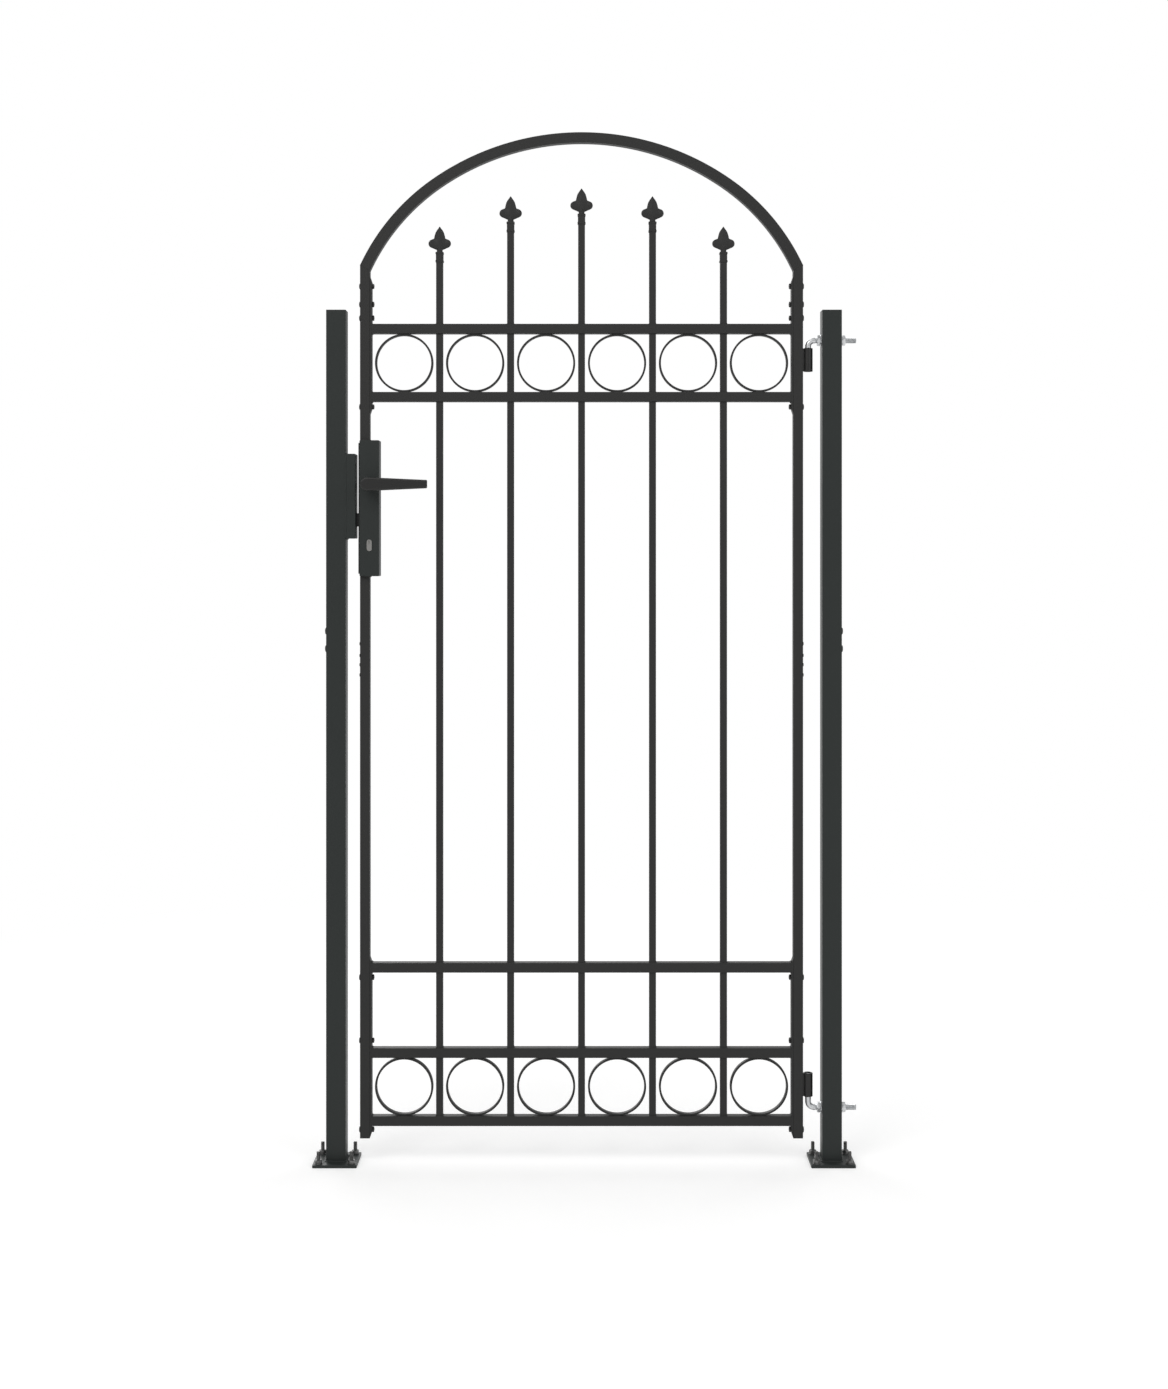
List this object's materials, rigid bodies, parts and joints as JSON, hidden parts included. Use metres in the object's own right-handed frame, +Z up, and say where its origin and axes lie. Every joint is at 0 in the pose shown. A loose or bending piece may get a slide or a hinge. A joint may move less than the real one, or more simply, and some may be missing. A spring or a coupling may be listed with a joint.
{
  "type": "pedestrian gate",
  "caption": "Arched steel garden gate leaf with bars, rings and spear points, hung with a lever lock between square posts bolted to the ground.",
  "frame": {"origin": "centre of the underside of the hinge post's foot plate, at ground level", "axes": "+X to the right seen from the front, along the shut leaf from the latch post to the hinge post; +Y away from the viewer, through the gate; +Z up"},
  "size_m": [1.106, 0.124, 2.103],
  "materials": {
    "post_paint": "satin powder coat, dark grey",
    "leaf_paint": "satin powder coat, dark grey",
    "black_metal": "satin black coat",
    "cap_plastic": "matte",
    "zinc": "bright zinc plate",
    "dark_zinc": "dulled zinc plate",
    "nickel": "satin nickel"
  },
  "bodies": {
    "posts": {"latch_post": "post_paint", "hinge_post": "post_paint", "post_caps": "cap_plastic", "latch_foot_plate": "post_paint", "hinge_foot_plate": "post_paint", "anchor_studs": "dark_zinc", "anchor_nuts": "dark_zinc", "post_bolts": "black_metal", "keep": "post_paint", "upper_hinge_pin": "zinc", "lower_hinge_pin": "zinc", "hinge_pin_nuts": "zinc"},
    "leaf": {"latch_stile_lower": "leaf_paint", "latch_stile_upper": "leaf_paint", "hinge_stile": "leaf_paint", "arch": "leaf_paint", "rail_1": "leaf_paint", "rail_2": "leaf_paint", "rail_3": "leaf_paint", "rail_4": "leaf_paint", "rail_5": "leaf_paint", "bar_1": "leaf_paint", "bar_2": "leaf_paint", "bar_3": "leaf_paint", "bar_4": "leaf_paint", "bar_5": "leaf_paint", "spear_points": "leaf_paint", "upper_rings": "leaf_paint", "lower_rings": "leaf_paint", "frame_straps": "leaf_paint", "frame_bolts": "black_metal", "splice_screws": "black_metal", "upper_hinge_barrel": "black_metal", "lower_hinge_barrel": "black_metal", "lock_case": "post_paint", "lock_forend": "black_metal", "key_cylinder": "nickel"},
    "handle": {"front_lever": "black_metal", "back_knob": "black_metal", "handle_spindle": "zinc"},
    "bolt": {"latch_bolt": "black_metal"}
  },
  "joints": [
    {"name": "leaf_swing", "type": "hinge", "parent": "posts", "child": "leaf", "pos_m": [-0.047, 0, 0.9], "axis": [0, 0, 1], "range_deg": [-90, 90]},
    {"name": "handle_turn", "type": "hinge", "parent": "leaf", "child": "handle", "pos_m": [-0.942, 0, 1.383], "axis": [0, 1, 0], "range_deg": [0, 40], "stiffness_Nm_per_rad": 1.5, "springref_deg": -20.05},
    {"name": "bolt_slide", "type": "slide", "parent": "leaf", "child": "bolt", "axis": [1, 0, 0], "range_m": [0, 0.018]}
  ],
  "couplings": [
    {"joint": "bolt_slide", "follows": "handle_turn", "m_per_rad": 0.02575}
  ]
}
